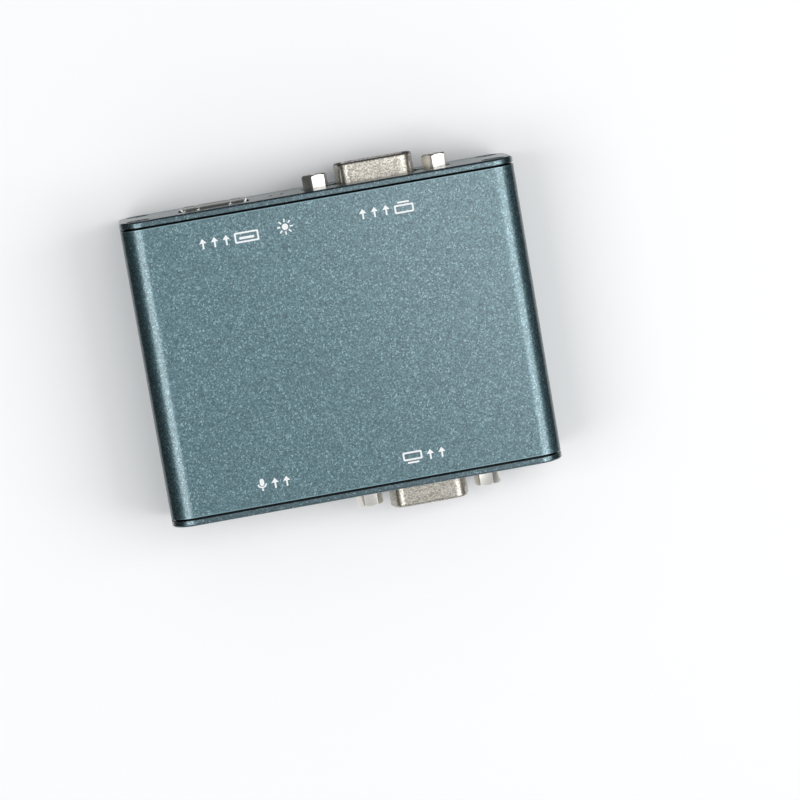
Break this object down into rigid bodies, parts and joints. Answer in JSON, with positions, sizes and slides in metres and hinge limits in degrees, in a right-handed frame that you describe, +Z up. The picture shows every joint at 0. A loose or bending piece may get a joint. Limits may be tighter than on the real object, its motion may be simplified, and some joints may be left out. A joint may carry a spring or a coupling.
{
  "type": "video capture box",
  "caption": "Small extruded metal box with screwed end plates, D-shaped video ports with jackscrews at both ends, a flat data socket, a microphone jack and an indicator lamp.",
  "frame": {"origin": "middle of the underside, in the plane that the box rests on", "axes": "+X along the width, to the right seen with the input end near; +Y towards the output end; +Z up out of the printed top face"},
  "size_m": [0.0816, 0.0722, 0.022],
  "materials": {
    "case_finish": "bead-blasted, blue-grey anodised, fine sparkle",
    "screw_black": "black zinc",
    "port_nickel": "nickel plated",
    "jack_nickel": "nickel plated, bright",
    "lead_tin": "tin plated",
    "contact_gold": "gold flashed",
    "port_blue": "moulded",
    "black_plastic": "moulded",
    "lamp_clear": "diffused epoxy",
    "board_green": "solder mask",
    "chip_black": "moulded epoxy",
    "can_aluminium": "drawn",
    "ferrite_grey": "sintered",
    "ceramic_tan": "ceramic"
  },
  "bodies": {
    "root": {"sleeve": "case_finish", "rear_plate": "case_finish", "front_plate": "case_finish", "rear_plate_screws": "screw_black", "front_plate_screws": "screw_black", "main_board": "board_green", "video_out_shell": "port_nickel", "video_out_bracket": "lead_tin", "video_out_insulator": "port_blue", "video_out_contacts": "contact_gold", "video_out_jackscrews": "jack_nickel", "video_in_shell": "port_nickel", "video_in_bracket": "lead_tin", "video_in_insulator": "port_blue", "video_in_contacts": "contact_gold", "video_in_jackscrews": "jack_nickel", "data_port_shell": "port_nickel", "data_port_housing": "black_plastic", "data_port_contacts": "contact_gold", "mic_jack_body": "black_plastic", "mic_jack_springs": "lead_tin", "lamp_lens": "lamp_clear", "lamp_leads": "lead_tin", "video_chip": "chip_black", "video_chip_leads": "lead_tin", "data_chip": "chip_black", "memory_chip": "chip_black", "memory_chip_leads": "lead_tin", "crystals": "lead_tin", "regulators": "chip_black", "regulator_leads": "lead_tin", "capacitor_cans": "can_aluminium", "capacitor_bases": "black_plastic", "inductors": "ferrite_grey", "chip_passives": "ceramic_tan"}
  },
  "joints": []
}
